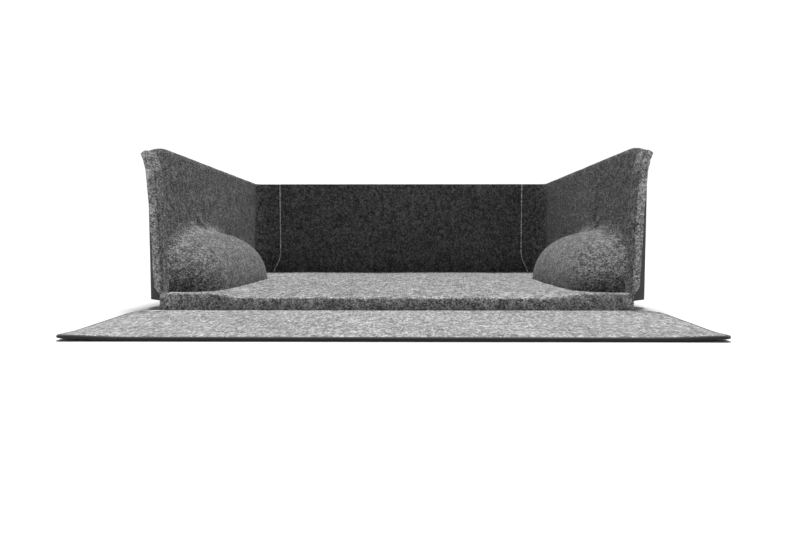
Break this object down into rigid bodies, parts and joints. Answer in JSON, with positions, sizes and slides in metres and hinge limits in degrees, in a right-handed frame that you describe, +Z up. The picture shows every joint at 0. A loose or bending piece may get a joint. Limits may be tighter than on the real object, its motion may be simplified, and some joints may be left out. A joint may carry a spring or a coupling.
{
  "type": "truck bed liner",
  "caption": "Carpeted pickup bed liner: padded floor, side sections with wheel wells, front section, and a hinged tailgate section joined by a zippered flap.",
  "frame": {"origin": "centre of the floor section's underside, where it lies on the bed floor", "axes": "+X to the right seen from behind the truck, +Y forward to the cab, +Z up"},
  "size_m": [1.68, 2.289, 0.553],
  "materials": {
    "carpet": "needle-punched looped tweed carpet, light and dark grey fibres, dull",
    "foam": "closed-cell black foam, fine cells, dull",
    "flap_fabric": "the same carpet without its foam, dull",
    "hook_tape": "black moulded hooks on a woven tape",
    "binding": "black woven edge tape, slight sheen",
    "tag_fabric": "plain white woven tag",
    "zipper_tape": "black twill zipper tape",
    "coil_nylon": "black nylon coil",
    "zipper_metal": "black enamelled zinc, worn at its edges"
  },
  "bodies": {
    "bed_section": {"floor_carpet": "carpet", "floor_foam": "foam", "hinge_flap": "flap_fabric", "left_side_carpet": "carpet", "left_side_foam": "foam", "left_wheel_well_carpet": "carpet", "left_wheel_well_foam": "foam", "left_hook_strips": "hook_tape", "right_side_carpet": "carpet", "right_side_foam": "foam", "right_wheel_well_carpet": "carpet", "right_wheel_well_foam": "foam", "right_hook_strips": "hook_tape", "front_carpet": "carpet", "front_foam": "foam", "front_hook_strips": "hook_tape"},
    "tailgate_section": {"tailgate_carpet": "carpet", "tailgate_foam": "foam", "tailgate_edge_binding": "binding", "tailgate_hook_strips": "hook_tape", "blank_tag": "tag_fabric", "zipper_tape_flap_side": "zipper_tape", "zipper_tape_gate_side": "zipper_tape", "zipper_coils": "coil_nylon", "zipper_end_stops": "zipper_metal"},
    "slider": {"zipper_slider": "zipper_metal"},
    "pull": {"zipper_pull": "zipper_metal"}
  },
  "joints": [
    {"name": "tailgate_fold", "type": "hinge", "parent": "bed_section", "child": "tailgate_section", "pos_m": [0, -0.866, -0.028], "axis": [-1, 0, 0], "range_deg": [0, 90], "deforming": ["hinge_flap"]},
    {"name": "zipper_run", "type": "slide", "parent": "tailgate_section", "child": "slider", "axis": [1, 0, 0], "range_m": [-1.452, 0]},
    {"name": "pull_turn", "type": "hinge", "parent": "slider", "child": "pull", "pos_m": [0.73, -0.864, -0.0181], "axis": [0, 1, 0], "range_deg": [0, 150]}
  ]
}
